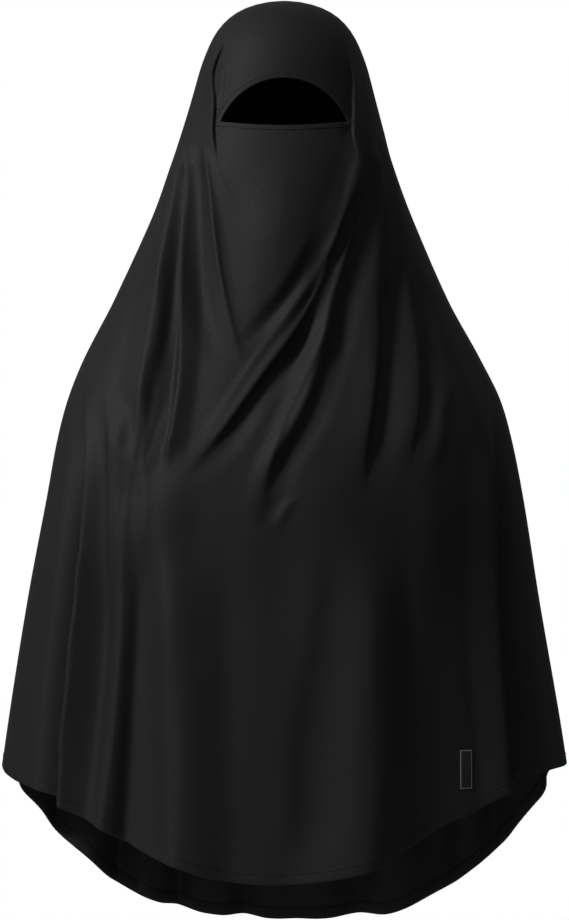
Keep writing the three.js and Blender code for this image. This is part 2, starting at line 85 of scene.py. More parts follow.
# A fold's crest runs from drop first to drop last, both shares of the front length, and path holds its
# azimuth at evenly spaced drops between them. depth is how far it stands out, left and right are the
# widths of its two flanks, hollow is the depth beside the narrower flank and tip is how far the crest
# is pushed sideways, all in millimetres. rise and fall are the shares of its length over which it
# grows and dies away. edge is 0 for a round crest and 1 for a sharp one.
Fold = namedtuple("Fold", "first last path depth left right hollow tip rise fall edge")
FOLDS = [
    # tucks beside the eye opening
    Fold(0.05, 0.2, (-48.5, -52.3, -44.5, -40.3, -33), 4.5, 22, 2.4, 0.6, 2.2, 0.15, 0.25, 0.8),
    Fold(0.055, 0.2, (49.5, 50.3, 45.3, 40.4, 36), 3, 3.2, 16, 1, -1.5, 0.3, 0.3, 0.6),
    # short creases pulled from the left tuck towards the corner of the eye
    Fold(0.075, 0.135, (-45, -43, -42), 0.9, 3, 3, 0.3, 0, 0.4, 0.4, 0.5),
    Fold(0.08, 0.125, (-40.5, -38.5, -38.5), 0.8, 3, 3, 0.3, 0, 0.4, 0.4, 0.5),
    Fold(0.085, 0.12, (-36, -34.5, -34.5), 0.6, 3, 3, 0.2, 0, 0.4, 0.4, 0.5),
    # the face veil: its ridge over the nose, and the slack beside it
    Fold(0.167, 0.455, (1, 0.6, -0.8, -1.4, -1.8, -1.9), 9.5, 66, 66, 5, -3, 0.42, 0.5, 0.12),
    Fold(0.182, 0.388, (-37.4, -27.4, -19.2, -12.8, -8.2), 1.2, 8.5, 19.9, 0, 5.9, 0.3, 0.4, 0),
    # folds from the wearer's right temple to the chest
    Fold(0.165, 0.578, (-66.1, -58.2, -51, -44.9, -40.2, -38.2, -37.4, -35.2),
         8.5, 31.3, 18.5, 2, 3.8, 0.12, 0.15, 0.16),
    Fold(0.166, 0.553, (-57, -50.1, -42.4, -35.6, -30.4, -27.3, -27, -28.9),
         9.5, 6.5, 20.2, 4, -1, 0.1, 0.12, 0.5),
    Fold(0.169, 0.435, (-45.4, -35.6, -28.4, -22.5, -17.2, -10.2),
         4.6, 13.1, 19.1, 4.6, 2.4, 0.15, 0.3, 0.98),
    Fold(0.464, 0.531, (-43.1, -41.7, -42.1), 1.5, 8.7, 8.7, 0.8, -0.1, 0.4, 0.3, 0.51),
    Fold(0.472, 0.553, (-30.3, -30.6, -32.9), 2.4, 14.4, 10.6, 1.6, -4, 0.4, 0.3, 0.23),
    # swags across the chest from the wearer's left temple
    Fold(0.152, 0.562, (41.1, 34.5, 21.4, 11.9, 2.3, -7.9, -16.4, -25.3),
         4.6, 19.4, 10, 4.5, 5.5, 0.12, 0.2, 0.67),
    Fold(0.25, 0.42, (20.6, 15.5, 9, 2, -6, -13.5), -5.5, 15, 9, 0, 0, 0.45, 0.4, 0),
    Fold(0.169, 0.6, (44.3, 35, 25.2, 15.8, 9.7, 3.9, -3.5, -6.8),
         7, 18, 12, 2.5, 1.1, 0.12, 0.2, 0.32),
    Fold(0.354, 0.528, (11.5, 4.2, -1.8, -9.3), -2.3, 14, 12.3, 0, 1, 0.4, 0.4, 0),
    Fold(0.569, 0.611, (3.2, 0, -1.5), 2, 8.6, 10.7, 1.4, 0.4, 0.4, 0.4, 0.28),
    # folds from the wearer's left temple to the chest
    Fold(0.166, 0.578, (58.5, 50.8, 41, 32.9, 27, 22.2, 19.1, 17.9),
         6, 36.5, 7, 4.5, 2.1, 0.08, 0.2, 0.45),
    Fold(0.294, 0.555, (53.8, 45.6, 40.1, 35.3, 31, 27.9), 3, 29.7, 7.1, 2.2, 4.3, 0.25, 0.3, 0.27),
    Fold(0.434, 0.55, (49.1, 42, 38.6, 34.8), 2, 17, 10.1, 0, -1.8, 0.4, 0.3, 0.31),
    # the deep pleat and the thin creases along the crests of these folds
    Fold(0.276, 0.415, (23.1, 13.9, 8.2, 2.7, -3.2), -6.5, 9, 10, 0, 0, 0.4, 0.5, 0.3),
    Fold(0.164, 0.545, (43, 33.6, 25.2, 17.2, 9, 0.6, -7.4, -13.4, -18.6, -23),
         1.7, 5, 4, 0.6, 0, 0.08, 0.3, 0.9),
    Fold(0.162, 0.594, (50.9, 36.9, 30.8, 22.4, 15.3, 10.4, 4.2, -0.7, -3.6, -4.8),
         1.6, 5, 4, 0.6, 0, 0.08, 0.2, 0.9),
    Fold(0.165, 0.562, (-64.7, -57.4, -50.9, -45.8, -41.8, -38.7, -37.6, -36),
         1.3, 6, 6, 0, 0, 0.08, 0.3, 0.6),
    Fold(0.164, 0.553, (-58.7, -47.9, -40.9, -35, -31, -28.9, -26.9, -27.7),
         1.5, 3.6, 5, 0.8, -0.6, 0.05, 0.12, 0.9),
    Fold(0.171, 0.441, (-46.4, -37.9, -32.3, -27.1, -22.4, -17.8, -13.6, -10),
         1.3, 4, 5, 0.4, 0, 0.08, 0.25, 0.9),
    Fold(0.164, 0.545, (59.5, 54.4, 45.5, 36.7, 30.6, 25.1, 21, 18.9),
         2.4, 6, 3.6, 1.4, 0.6, 0.08, 0.2, 0.9),
    # the rounding of the chest
    Fold(0.528, 0.655, (-25.7, -28.6, -28.8, -29.2), 4.6, 34.7, 51.9, 1.3, 3.9, 0.5, 0.5, 0),
    Fold(0.522, 0.644, (8, 8.8, 11.2, 11.6), 2.9, 51.1, 85.9, 0, -0.7, 0.5, 0.5, 0),
    # flutes of the front skirt
    Fold(0.43, 1.13, (-64, -51.5, -47.4, -46.2, -45.6, -45.1, -44.4, -43.7, -43.2),
         18, 9, 34, 0, -4, 0.34, 0, 0.7),
    Fold(0.433, 0.734, (-53.5, -44.7, -41.8, -40.4, -39.2, -37.4),
         5.5, 15.8, 15.8, 6.8, -1.7, 0.3, 0.5, 0.8),
    Fold(0.488, 1.13, (-38.1, -36.8, -35.9, -35, -34.6, -35, -36, -37.5, -38),
         11.5, 24, 30, 5, 0, 0.2, 0, 0.35),
    Fold(0.578, 1.13, (-29.8, -24.9, -23, -21.5, -20.3, -19.9, -20.8, -20.9),
         14, 34.4, 60, 8, 6, 0.25, 0, 0.1),
    Fold(0.6, 0.973, (8.3, 5.9, 4.2, 2.2, 0.6, 0.3, 0.3),
         2.6, 35.8, 23.3, 2.8, -0.6, 0.3, 0.1, 0.17),
    Fold(0.577, 1.13, (15.3, 17.1, 17.4, 16.8, 16.1, 14.4, 10.4, 10.6),
         14, 76, 52, 6.8, 2.8, 0.3, 0, 0.1),
    Fold(0.6, 0.942, (30.6, 30.9, 30.3, 29.1, 28.4, 27.4, 26.5),
         1.5, 24.5, 33.9, 0, -1.9, 0.3, 0.1, 0.12),
    Fold(0.544, 1.13, (39.6, 39.1, 37.8, 36.4, 38, 35.4, 34.4, 34.5),
         0.4, 15.6, 21.6, 0, 5.4, 0.4, 0, 0.07),
    Fold(0.455, 1.13, (64, 54.5, 51, 49.4, 47.8, 46.6, 45.7, 45.1, 44.9),
         9, 40, 6, 3, 1, 0.2, 0, 0.7),
    Fold(0.602, 0.89, (71.7, 68.9, 66.5, 63.5, 61.2, 59), 0.3, 17.7, 32.7, 1.7, -2.2, 0.4, 0, 0.19),
    # valleys beside the flutes, and a thin crest along one of them
    Fold(0.43, 1.13, (-66.7, -54.2, -50.1, -48.9, -48.3, -47.8, -47.1, -46.4, -45.9),
         -24, 36, 9, 0, 0, 0.3, 0, 0.4),
    Fold(0.6, 1.13, (-32.2, -31.8, -31.5, -31.7, -32.4), -4.5, 13, 15, 0, 0, 0.3, 0, 0.1),
    Fold(0.455, 1.13, (65.8, 56.3, 52.8, 51.2, 49.6, 48.4, 47.5, 46.9, 46.7),
         -10, 7, 26, 0, 0, 0.3, 0, 0.4),
    Fold(0.595, 1.117, (-28.8, -26.7, -25.3, -24.5, -23.2, -21.9, -21.5, -21.2),
         2.6, 13, 15, 0, 0, 0.3, 0, 0.5),
    # the back: drape below the nape, then flutes down to the hem
    Fold(0.16, 0.7, (150, 158, 162, 164), 7, 36, 36, 3, 0, 0.4, 0.4, 0.1),
    Fold(0.16, 0.7, (212, 203, 198, 196), 7, 36, 36, 3, 0, 0.4, 0.4, 0.1),
    Fold(0.5, 1.13, (116, 118, 119, 119), 9, 32, 36, 6, 0, 0.5, 0.0, 0.2),
    Fold(0.48, 1.13, (130, 132, 133, 134), 12, 32, 24, 9, 4, 0.5, 0.0, 0.3),
    Fold(0.52, 1.13, (146, 148, 149, 149), 12, 36, 32, 7, 0, 0.5, 0.0, 0.2),
    Fold(0.5, 1.13, (166, 167, 166, 165), 14, 36, 32, 7, 0, 0.5, 0.0, 0.3),
    Fold(0.52, 1.13, (184, 186, 188, 188), 15, 26, 28, 6, 0, 0.5, 0.0, 0.3),
    Fold(0.5, 1.13, (198, 200, 201, 201), 17, 26, 26, 7, 0, 0.5, 0.0, 0.3),
    Fold(0.5, 1.13, (214, 214, 214, 214), 14, 28, 24, 6, 0, 0.5, 0.0, 0.3),
    Fold(0.48, 1.13, (232, 232, 231, 230), 15, 24, 32, 9, -4, 0.5, 0.0, 0.3),
    Fold(0.5, 1.13, (246, 244, 243, 242), 9, 36, 32, 6, 0, 0.5, 0.0, 0.2),
]
SEAM_CALM = 0.3  # folds die away where the cosine of the azimuth is under this
HOLLOW_REACH = 1.1  # half the width of a hollow, as a share of the mean width of the two flanks
HOLLOW_AWAY = 0.4  # how far its middle lies past the foot of the flank, as a share of that half
PATH_STEP = 0.01  # share of a fold's length over which its lean is taken

# Slight unevenness of the cloth. Each ripple is a size and one or two waves: how many radians they go
# through for a radian round and for a front length down, and where they start.
Ripple = namedtuple("Ripple", "size waves")
RIPPLES = [
    Ripple(1.0, [(9, 5, 1.3), (2, 7, 0)]),
    Ripple(0.6, [(17, -4, 0.4)]),
    Ripple(0.4, [(31, 9, 0), (-5, 13, 0)]),
]
RIPPLE_HEIGHT = 0.9 * MM
RIPPLE_START, RIPPLE_GROWTH = 0.2, 0.3  # shares of the front length

LEFT_SEAM, RIGHT_SEAM, FULL_TURN = -90.0, 90.0, 360.0
STEP_AZIMUTH = 0.25  # degrees, for slopes
STEP_DROP = 0.8 * MM

# The search for the place on the cloth that shows at a point, seen from the front
SEARCH_ROUNDS = 16
SEARCH_PROBE, SEARCH_TURN = 0.2, 2  # degrees: the step for slopes, and the most that a round turns
SEARCH_SLIDE = 4 * MM  # the most that a round moves up or down

# Points nearer to each other than these are made one: in a hem, and in a sheet
SAME_POINT, NEAR_POINT = 0.001 * MM, 0.02 * MM

# Cross sections of the hems: millimetres in from the free edge, and out from the middle of the cloth
Corner = namedtuple("Corner", "inward outward")
BOTTOM_HEM = [
    Corner(0.0, -0.2), Corner(0.25, 0.3), Corner(0.8, 0.52), Corner(1.8, 0.57), Corner(5.0, 0.58),
    Corner(9.6, 0.57), Corner(10.8, 0.53), Corner(11.6, 0.42), Corner(12.4, 0.2), Corner(13.6, -0.3),
    Corner(13.2, -0.6), Corner(11.8, -0.85), Corner(9.6, -1.0), Corner(5.0, -1.05), Corner(0.9, -0.95),
    Corner(0.25, -0.65),
]
EYE_HEM = [
    Corner(0.0, 0.0), Corner(0.25, 0.42), Corner(0.9, 0.62), Corner(3.0, 0.72), Corner(4.8, 0.68),
    Corner(6.0, 0.52), Corner(7.0, 0.38), Corner(7.6, 0.0), Corner(7.2, -0.5), Corner(5.9, -0.8),
    Corner(3.0, -1.0), Corner(0.9, -0.9), Corner(0.25, -0.6),
]
HEM_OVERLAP = 4 * MM  # how far the cloth reaches into its hems
STITCH_PITCH = 3.4 * MM
STITCH_SIZE = (2.5 * MM, 0.55 * MM, 0.4 * MM)
STITCH_REACH = 1 * MM  # how far to each side a stitch looks for its direction
# Where the stitches run, as corners of these sections
BOTTOM_STITCHES = Corner(10.2, 0.6)
EYE_STITCHES = Corner(5.2, 0.66)

# The bottom hems: CAD piece, first and last azimuth, and cells between them
HEM_RUNS = [
    ("front_hem", LEFT_SEAM, RIGHT_SEAM, 300),
    ("back_hem", RIGHT_SEAM, LEFT_SEAM + FULL_TURN, 260),
]

EYE_STATIONS = 121
ARCH_PAST, SAG_PAST = 3 * MM, 4 * MM  # how far the two eye hems run on past the corners
EYE_CUT = 3 * MM  # how far the cloth stops short of the edge of the eye opening
CORNER_CUT = 1 * MM  # and past its corners
HOOD_HALF = 0.115  # about half the width of the hood at the eyes, where a search starts

# The seam allowance turned in where the panels meet: millimetres back from the seam, and inward
SEAM_TURN = [(1.3, 0.0), (0.8, 0.12), (0.5, 0.5), (0.45, 1.2), (0.45, 3.5), (0.45, 8.0)]
SEAM_GROWTH = 20 * MM  # the drop from the crown over which the allowance gets its full size

# Columns and rows of the cloth grids: a place, and the cells up to it from the one before. The first
# and last rows are narrow, so that the shading of the cut edges stays at the crown and inside the hem.
FRONT_COLUMNS = [(LEFT_SEAM, 0), (-62, 18), (62, 200), (RIGHT_SEAM, 18)]
FRONT_ROWS = [(0.0, 0), (0.0016, 1), (0.05, 9), (0.62, 168), (0.9993, 24), (1.0, 1)]
BACK_COLUMNS = [(RIGHT_SEAM, 0), (LEFT_SEAM + FULL_TURN, 240)]
BACK_ROWS = [(0.0, 0), (0.0016, 1), (0.05, 10), (0.9993, 110), (1.0, 1)]
CROWN_SHARE = 0.05  # rows above this share of the drop draw together towards the crown

LABEL_SIZE = (13 * MM, 40 * MM)
LABEL_AZIMUTH, LABEL_DROP = 36.5, 805 * MM
LABEL_THICKNESS = 0.45 * MM
LABEL_GRID = (15, 39)
# Millimetres from the middle of the cloth to the middle of the label: at its edges, and more between
LABEL_STAND, LABEL_BELLY = 0.75, 0.5

# Sizes of the patterns in the materials, as drawn
GRAIN_ACROSS, GRAIN_DOWN, GRAIN_HEIGHT = 1.8 * MM, 2.4 * MM, 0.2 * MM
DYE_PATCH = 90 * MM
DYE_TINT = (1.12, 1.12, 1.25)  # what the black is multiplied by where the dye took most
THREAD_TURN = 0.8 * MM
RIB_PITCH = 1.5 * MM
# How far in from the edge the label's border begins and ends, with its soft sides
BORDER_START, BORDER_END = (0.3 * MM, 0.6 * MM), (1.2 * MM, 1.5 * MM)

# The stage. The one lamp stands to the viewer's left, and a dim sky lights what faces up.
KEY_PLACE = (-2.55, -1.7, 1.5)
KEY_AIM = (0, 0, -0.45)
KEY_SIDE = 0.6
KEY_POWER = 110
SKY_LIGHT = 0.26
SKY_DARK, SKY_FULL = -0.1, 0.3  # sines of the heights over the horizon where it starts and is full
FLOOR_RADIUS, FLOOR_HEIGHT = 1.5, -1.62
CAMERA_AWAY = 3.2
CAMERA_PLACE = (0.0005, -CAMERA_AWAY, -0.489)
SENSOR_WIDTH = 36
FRAME_TALL = 0.9844  # height that the picture takes in, in the plane of the side seams


def curve_value(places, values, x):
    """A smooth curve through a table, run on straight past its last row."""
    places, values = np.asarray(places, float), np.asarray(values, float)
    slopes = np.empty_like(values)
    slopes[1:-1] = (values[2:] - values[:-2]) / (places[2:] - places[:-2])
    slopes[0] = (values[1] - values[0]) / (places[1] - places[0])
    slopes[-1] = (values[-1] - values[-2]) / (places[-1] - places[-2])
    i = np.clip(np.searchsorted(places, x, side="right") - 1, 0, len(places) - 2)
    span = places[i + 1] - places[i]
    t = np.clip((x - places[i]) / span, 0, 1)
    value = values[i] * (1 + 2 * t) * (1 - t) ** 2 + values[i + 1] * (3 - 2 * t) * t**2
    value = value + span * t * (1 - t) * (slopes[i] * (1 - t) - slopes[i + 1] * t)
    return value + slopes[-1] * np.maximum(x - places[-1], 0)


def even_curve(values, share):
    """A smooth curve through evenly spaced values, at a share from 0 to 1 of the way along."""
    ends = (2 * values[0] - values[1], 2 * values[-1] - values[-2])
    v = np.array([ends[0], *values, ends[1]], float)
    place = np.clip(share, 0, 1) * (len(values) - 1)
    i = np.minimum(place.astype(int), len(values) - 2)
    t = place - i
    a, b, c, d = v[i], v[i + 1], v[i + 2], v[i + 3]
    return b + 0.5 * t * (c - a + t * (2 * a - 5 * b + 4 * c - d + t * (3 * b - a - 3 * c + d)))


def smooth(x):
    """From 0 to 1 as x goes from 0 to 1, level at both ends."""
    x = np.clip(x, 0, 1)
    return x * x * (3 - 2 * x)


def unit(v):
    """Vectors brought to length 1."""
    return v / np.maximum(np.linalg.norm(v, axis=-1, keepdims=True), 1e-12)


LEVELS = np.sqrt([s.drop for s in SECTIONS])  # by the square root, which keeps the crown round


class Drape:
    """The hanging cloth as a surface: points by azimuth, in degrees, and drop, in metres.

    Azimuth 0 is the front, 90 the viewer's right and 180 the back."""

    def __init__(self, sizes):
        self.sizes = sizes

    def plain(self, azimuth, drop):
        """The cloth without its folds."""
        s = self.sizes
        azimuth, drop = np.broadcast_arrays(np.asarray(azimuth, float), np.asarray(drop, float))
        angle = np.radians(azimuth)
        across, forward = np.sin(angle), np.cos(angle)
        level = np.sqrt(np.maximum(drop, 0) / s.front_length)
        column = {k: curve_value(LEVELS, [getattr(r, k) for r in SECTIONS], level) for k in Section._fields}
        width = np.where(across < 0, column["left"], column["right"]) * s.half_spread
        reach = np.where(forward > 0, column["front"] * s.front_reach, column["back"] * s.back_reach)
        swell = 1 + column["square"] * np.sin(2 * angle) ** 2
        return np.stack([width * across * swell, -reach * forward * swell, -drop], -1)

    def directions(self, place, azimuth, drop):
        """Unit vectors along the azimuth and out of the cloth, and the width of a degree."""
        along = place(azimuth + STEP_AZIMUTH, drop) - place(azimuth - STEP_AZIMUTH, drop)
        down = place(azimuth, drop + STEP_DROP) - place(azimuth, np.maximum(drop - STEP_DROP, 0))
        per_degree = np.linalg.norm(along, axis=-1) / (2 * STEP_AZIMUTH)
        return unit(along), unit(np.cross(down, along)), per_degree

    def fold(self, row, azimuth, drop, per_degree):
        """How far one fold lifts the cloth and tips it sideways."""
        share = (drop / self.sizes.front_length - row.first) / (row.last - row.first)
        crest = even_curve(row.path, share)
        later = even_curve(row.path, share + PATH_STEP)
        run = (row.last - row.first) * self.sizes.front_length * PATH_STEP
        lean = (later - crest) * per_degree / run
        offset = (azimuth - crest) * per_degree / np.sqrt(1 + lean**2)
        left, right = row.left * MM, row.right * MM
        r = np.minimum(np.abs(offset) / np.where(offset < 0, left, right), 1)
        crown = (1 - r) ** 2 * (1 + 2 * (1 - row.edge) * r)
        side = -1 if left < right else 1
        reach = HOLLOW_REACH * (left + right) / 2
        away = np.abs(offset - side * (min(left, right) + HOLLOW_AWAY * reach)) / reach
        dip = np.maximum(1 - away**2, 0) ** 2
        grown = (share > 0) & (share < 1)
        grown = grown * (smooth(share / row.rise) if row.rise else 1)
        grown = grown * (smooth((1 - share) / row.fall) if row.fall else 1)
        return grown * (row.depth * crown - row.hollow * dip) * MM, grown * row.tip * MM * crown

    def point(self, azimuth, drop):
        """The middle of the cloth, folds and all."""
        azimuth, drop = np.broadcast_arrays(np.asarray(azimuth, float), np.asarray(drop, float))
        along, out, per_degree = self.directions(self.plain, azimuth, drop)
        lift, tip = self.ripple(azimuth, drop), np.zeros_like(drop)
        for row in FOLDS:
            lifted, tipped = self.fold(row, azimuth, drop, per_degree)
            lift, tip = lift + lifted, tip + tipped
        calm = smooth(np.abs(np.cos(np.radians(azimuth))) / SEAM_CALM)[..., None]
        base = self.plain(azimuth, drop) + out * self.sizes.wall / 2
        return base + calm * (out * lift[..., None] + along * tip[..., None])

    def ripple(self, azimuth, drop):
        """Slight unevenness that runs down the cloth."""
        angle, down = np.radians(azimuth), drop / self.sizes.front_length
        height = 0
        for row in RIPPLES:
            wave = row.size
            for around, along, start in row.waves:
                wave = wave * np.sin(around * angle + along * down + start)
            height = height + wave
        return RIPPLE_HEIGHT * height * smooth((down - RIPPLE_START) / RIPPLE_GROWTH)

    def place_at(self, x, z, azimuth, drop):
        """The azimuth and drop where the cloth lies at x and z, seen from the front."""
        for _ in range(SEARCH_ROUNDS):
            here = self.point(azimuth, drop)
            by_azimuth = (self.point(azimuth + SEARCH_PROBE, drop) - here)[..., ::2] / SEARCH_PROBE
            by_drop = (self.point(azimuth, drop + STEP_DROP) - here)[..., ::2] / STEP_DROP
            miss = np.stack([x, z], -1) - here[..., ::2]
            area = by_azimuth[..., 0] * by_drop[..., 1] - by_azimuth[..., 1] * by_drop[..., 0]
            turn = (miss[..., 0] * by_drop[..., 1] - miss[..., 1] * by_drop[..., 0]) / area
            slide = (by_azimuth[..., 0] * miss[..., 1] - by_azimuth[..., 1] * miss[..., 0]) / area
            azimuth = azimuth + np.clip(turn, -SEARCH_TURN, SEARCH_TURN)
            drop = drop + np.clip(slide, -SEARCH_SLIDE, SEARCH_SLIDE)
        return azimuth, drop

    def frame(self, azimuth, drop):
        """Points of the cloth with the direction out of it there."""
        _, out, _ = self.directions(self.point, azimuth, drop)
        return self.point(azimuth, drop), out

    def hem_drop(self, azimuth):
        """How far below the crown the bottom edge hangs."""
        s = self.sizes
        fall = np.clip(curve_value(*zip(*HEM_LINE), azimuth), 0, 1)
        lowest = np.where(azimuth > RIGHT_SEAM, s.back_length, s.front_length)
        return s.side_length + fall * (lowest - s.side_length)


def places_of(stops):
    """The columns or rows of a grid, from its table of places and cells."""
    places = [stops[0][0]]
    for (start, _), (end, cells) in zip(stops, stops[1:]):
        places += [start + (end - start) * k / cells for k in range(1, cells + 1)]
    return np.array(places)


def linear(hex_colour):
    """An sRGB hex colour as linear red, green, blue and alpha."""
    channels = [int(hex_colour[i:i + 2], 16) / 255 for i in (1, 3, 5)]
    return [c / 12.92 if c <= 0.04045 else ((c + 0.055) / 1.055) ** 2.4 for c in channels] + [1.0]


def add_node(tree, kind, links=(), **settings):
    """Adds a node, sets its properties and inputs by name, and links (input, source socket) pairs."""
    node = tree.nodes.new(kind)
    for name, value in settings.items():
        if name in node.bl_rna.properties:
            setattr(node, name, value)
        else:
            node.inputs[name.replace("_", " ")].default_value = value
    for name, source in links:
        tree.links.new(source, node.inputs[name])
    return node


def grid_mesh(name, points, uv, keep=None):
    """A mesh object over a grid of points, with its own UV map in metres of cloth."""
    rows, columns = points.shape[:2]
    index = np.arange(rows * columns).reshape(rows, columns)
    quads = np.stack([index[:-1, :-1], index[1:, :-1], index[1:, 1:], index[:-1, 1:]], -1)
    if keep is not None:
        quads = quads[keep]
    quads = quads.reshape(-1, 4)
    mesh = bpy.data.meshes.new(name)
    mesh.from_pydata(points.reshape(-1, 3).tolist(), [], quads.tolist())
    layer = mesh.uv_layers.new(name="Cloth")
    layer.data.foreach_set("uv", uv.reshape(-1, 2)[quads.reshape(-1)].ravel())
    obj = bpy.data.objects.new(name, mesh)
    bpy.context.collection.objects.link(obj)
    return obj


def loft(name, sections, lengths, around):
    """A capped tube through closed sections, given as stations by corners, with UV in metres."""
    corners = sections.shape[1]
    uv = np.stack(np.broadcast_arrays(lengths[:, None], around[None, :]), -1)
    ring = np.concatenate([sections, sections[:, :1]], 1)
    ring_uv = np.concatenate([uv, uv[:, :1] + [0, around[-1] + MM]], 1)
    obj = grid_mesh(name, ring, ring_uv)
    work = bmesh.new()
    work.from_mesh(obj.data)
    bmesh.ops.remove_doubles(work, verts=work.verts, dist=SAME_POINT)
    ends = [e for e in work.edges if e.is_boundary]
    bmesh.ops.holes_fill(work, edges=ends, sides=corners + 2)
    bmesh.ops.recalc_face_normals(work, faces=work.faces)
    work.to_mesh(obj.data)
    work.free()
    obj.data.shade_smooth()
    return obj


def lengths_along(line):
    """Metres from the start of a line to each of its points."""
    return np.concatenate([[0], np.cumsum(np.linalg.norm(np.diff(line, axis=0), axis=-1))])


def uv_by_length(points):
    """Metres of cloth across and down from the middle of the top row."""
    across = np.linalg.norm(np.diff(points, axis=1), axis=-1)
    across = np.concatenate([np.zeros((len(points), 1)), np.cumsum(across, 1)], 1)
    middle = points.shape[1] // 2
    across = across - across[:, middle:middle + 1]
    down = lengths_along(points[:, middle])[:, None]
    return np.stack(np.broadcast_arrays(across, -down), -1)


def finish_mesh(obj):
    """Merges what meets, drops loose points and shades the piece smooth."""
    work = bmesh.new()
    work.from_mesh(obj.data)
    bmesh.ops.remove_doubles(work, verts=work.verts, dist=NEAR_POINT)
    loose = [v for v in work.verts if not v.link_faces]
    bmesh.ops.delete(work, geom=loose, context="VERTS")
    work.to_mesh(obj.data)
    work.free()
    obj.data.shade_smooth()


def apply_modifier(obj, kind, **settings):
    """Adds a modifier with its settings and applies it."""
    bpy.ops.object.select_all(action="DESELECT")
    obj.select_set(True)
    bpy.context.view_layer.objects.active = obj
    modifier = obj.modifiers.new(kind.title(), kind)
    for name, value in settings.items():
        setattr(modifier, name, value)
    bpy.ops.object.modifier_apply(modifier=modifier.name)


def new_material(name):
    """An empty material and its node tree."""
    material = bpy.data.materials.new(name)
    material.use_nodes = True
    material.node_tree.nodes.clear()
    return material, material.node_tree


def cloth_uv(tree, across, down):
    """The piece's own map, scaled so that one unit of a pattern measures across by down on the cloth."""
    uv = add_node(tree, "ShaderNodeUVMap", uv_map="Cloth")
    node = add_node(
        tree, "ShaderNodeMapping", [("Vector", uv.outputs["UV"])], Scale=(1 / across, 1 / down, 1.0))
    return node.outputs["Vector"]


def shade(tree, **sockets):
    """Ends a material with one shader, whose inputs are values or the sockets that feed them."""
    links = [(k.replace("_", " "), v) for k, v in sockets.items() if isinstance(v, bpy.types.NodeSocket)]
    values = {k: v for k, v in sockets.items() if not isinstance(v, bpy.types.NodeSocket)}
    shader = add_node(tree, "ShaderNodeBsdfPrincipled", links, **values)
    add_node(tree, "ShaderNodeOutputMaterial", [("Surface", shader.outputs["BSDF"])])


def ranged(tree, value, low, high, source=(0.3, 0.7)):
    """A value carried from the source range to another."""
    node = add_node(
        tree, "ShaderNodeMapRange", [("Value", value)],
        From_Min=source[0], From_Max=source[1], To_Min=low, To_Max=high)
    return node.outputs["Result"]


def blended(tree, share, first, second):
    """Two colours blended by a share."""
    node = add_node(tree, "ShaderNodeMix", data_type="RGBA")
    tree.links.new(share, node.inputs[0])
    node.inputs[6].default_value = first
    node.inputs[7].default_value = second
    return node.outputs[2]


def bands(tree, place, direction, pitch, distortion):
    """Even bands a pitch apart.

    At scale 1 the wave repeats every pi / 10, and a diagonal one every pi / 5."""
    span = np.pi / 5 if direction == "DIAGONAL" else np.pi / 10
    node = add_node(
        tree, "ShaderNodeTexWave", [("Vector", place)],
        bands_direction=direction, Scale=span / pitch, Distortion=distortion)
    return node.outputs["Fac"]


def cloth_black(colours):
    """Black crepe, woven from high-twist yarn: its crinkled grain breaks the sheen into a soft glow.

    The yarns are 0.5 mm apart, too fine to show, so the grain is drawn at about 2 mm. The dye takes a
    little unevenly over a hand's width, which tints the black."""
    material, tree = new_material("black crepe, woven")
    grain = add_node(
        tree, "ShaderNodeTexNoise", [("Vector", cloth_uv(tree, GRAIN_ACROSS, GRAIN_DOWN))],
        Scale=1.0, Detail=2.0)
    dye = add_node(
        tree, "ShaderNodeTexNoise", [("Vector", cloth_uv(tree, DYE_PATCH, DYE_PATCH))],
        Scale=1.0, Detail=3.0)
    tint = [min(c * more, 1) for c, more in zip(colours.cloth, DYE_TINT)] + [1.0]
    bump = add_node(
        tree, "ShaderNodeBump", [("Height", grain.outputs["Fac"])], Strength=0.3, Distance=GRAIN_HEIGHT)
    shade(
        tree,
        Base_Color=blended(tree, ranged(tree, dye.outputs["Fac"], 0, 1), [*colours.cloth, 1.0], tint),
        Roughness=ranged(tree, grain.outputs["Fac"], 0.67, 0.77),
        Specular_IOR_Level=0.28,
        Normal=bump.outputs["Normal"],
    )
    return material


def sewing_thread(colours):
    """Black polyester thread, spun and twisted: the twist shows as slanting turns along each stitch.

    The turns are 0.3 mm long, too fine to show, so they are drawn 0.8 mm long."""
    material, tree = new_material("black polyester thread, spun")
    place = add_node(tree, "ShaderNodeTexCoord")
    turns = bands(tree, place.outputs["Object"], "DIAGONAL", THREAD_TURN, 0.6)
    bump = add_node(tree, "ShaderNodeBump", [("Height", turns)], Strength=0.4, Distance=0.1 * MM)
    shade(
        tree, Base_Color=[*colours.cloth, 1.0], Specular_IOR_Level=0.2,
        Roughness=ranged(tree, turns, 0.55, 0.75), Normal=bump.outputs["Normal"])
    return material


